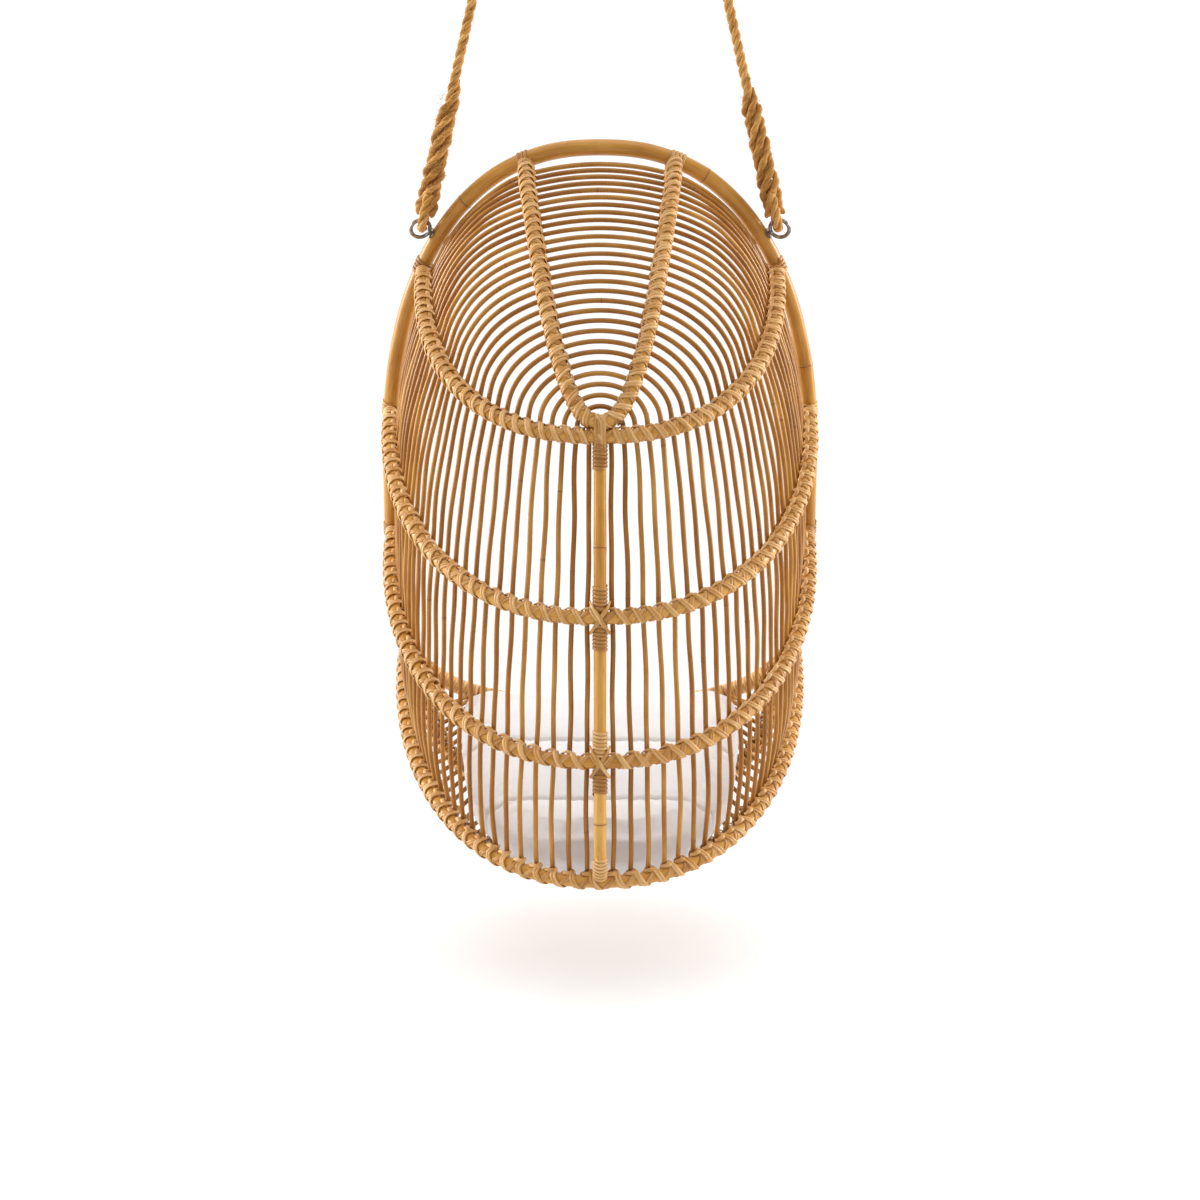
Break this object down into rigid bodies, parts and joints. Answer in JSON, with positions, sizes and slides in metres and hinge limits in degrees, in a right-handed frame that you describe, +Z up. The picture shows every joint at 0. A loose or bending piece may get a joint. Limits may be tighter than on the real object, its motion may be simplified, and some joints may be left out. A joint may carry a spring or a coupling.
{
  "type": "hanging chair",
  "caption": "Hanging rattan basket chair with a ribbed cocoon shell of bent rods, a seat cushion and two ropes that end in thimbles.",
  "frame": {"origin": "midway between the centres of the two top thimbles, on the line that the chair hangs from", "axes": "+Z up; the sitter faces -Y, so the shell's back is towards +Y; +X is the sitter's left"},
  "size_m": [0.7784, 0.7495, 1.6907],
  "materials": {
    "rattan_pole": "clear satin lacquer on peeled rattan poles",
    "rattan_rod": "clear satin lacquer on thin rattan rods",
    "hemp_rope": "laid natural-fibre rope",
    "dark_steel": "darkened zinc-plated steel",
    "cushion_cover": "off-white woven outdoor fabric",
    "rattan_peel": "split rattan peel"
  },
  "bodies": {
    "hanger": {"rope_thimble_left": "dark_steel", "rope_thimble_right": "dark_steel"},
    "ropes": {"rope_left": "hemp_rope", "rope_right": "hemp_rope", "rope_seizing_left": "hemp_rope", "rope_seizing_right": "hemp_rope", "rope_splice_left": "hemp_rope", "rope_splice_right": "hemp_rope"},
    "basket": {"eye_bolt_left": "dark_steel", "eye_bolt_nuts": "dark_steel", "eye_bolt_right": "dark_steel", "eye_bolt_washers": "dark_steel", "rib_back_lower": "rattan_pole", "rib_back_upper": "rattan_pole", "rib_crown": "rattan_pole", "rib_hood_hairpin": "rattan_pole", "rib_seat_front": "rattan_pole", "rib_seat_middle": "rattan_pole", "rib_seat_rear": "rattan_pole", "rim_hoop": "rattan_pole", "shell_rod_01": "rattan_rod", "shell_rod_02": "rattan_rod", "shell_rod_03": "rattan_rod", "shell_rod_04": "rattan_rod", "shell_rod_05": "rattan_rod", "shell_rod_06": "rattan_rod", "shell_rod_07": "rattan_rod", "shell_rod_08": "rattan_rod", "shell_rod_09": "rattan_rod", "shell_rod_10": "rattan_rod", "shell_rod_11": "rattan_rod", "shell_rod_12": "rattan_rod", "shell_rod_13": "rattan_rod", "shell_rod_14": "rattan_rod", "shell_rod_15": "rattan_rod", "shell_rod_16": "rattan_rod", "shell_rod_17": "rattan_rod", "shell_rod_18": "rattan_rod", "shell_rod_19": "rattan_rod", "shell_rod_20": "rattan_rod", "shell_rod_21": "rattan_rod", "shell_rod_22": "rattan_rod", "shell_rod_23": "rattan_rod", "shell_rod_24": "rattan_rod", "shell_rod_25": "rattan_rod", "shell_rod_26": "rattan_rod", "shell_rod_27": "rattan_rod", "shell_rod_28": "rattan_rod", "shell_rod_29": "rattan_rod", "spine_bindings": "rattan_peel", "spine_lower": "rattan_pole", "spine_middle": "rattan_pole", "spine_upper": "rattan_pole"},
    "cushion": {"seat_cushion": "cushion_cover"}
  },
  "joints": [
    {"name": "rope_swing", "type": "hinge", "parent": "hanger", "child": "ropes", "pos_m": [0, 0, 0], "axis": [1, 0, 0], "range_deg": [-20, 20]},
    {"name": "basket_tilt", "type": "hinge", "parent": "ropes", "child": "basket", "pos_m": [0, 0, -0.5416], "axis": [1, 0, 0], "range_deg": [-15, 15]},
    {"name": "cushion_lift", "type": "slide", "parent": "basket", "child": "cushion", "axis": [0, 0, 1], "range_m": [0, 0.12]}
  ]
}
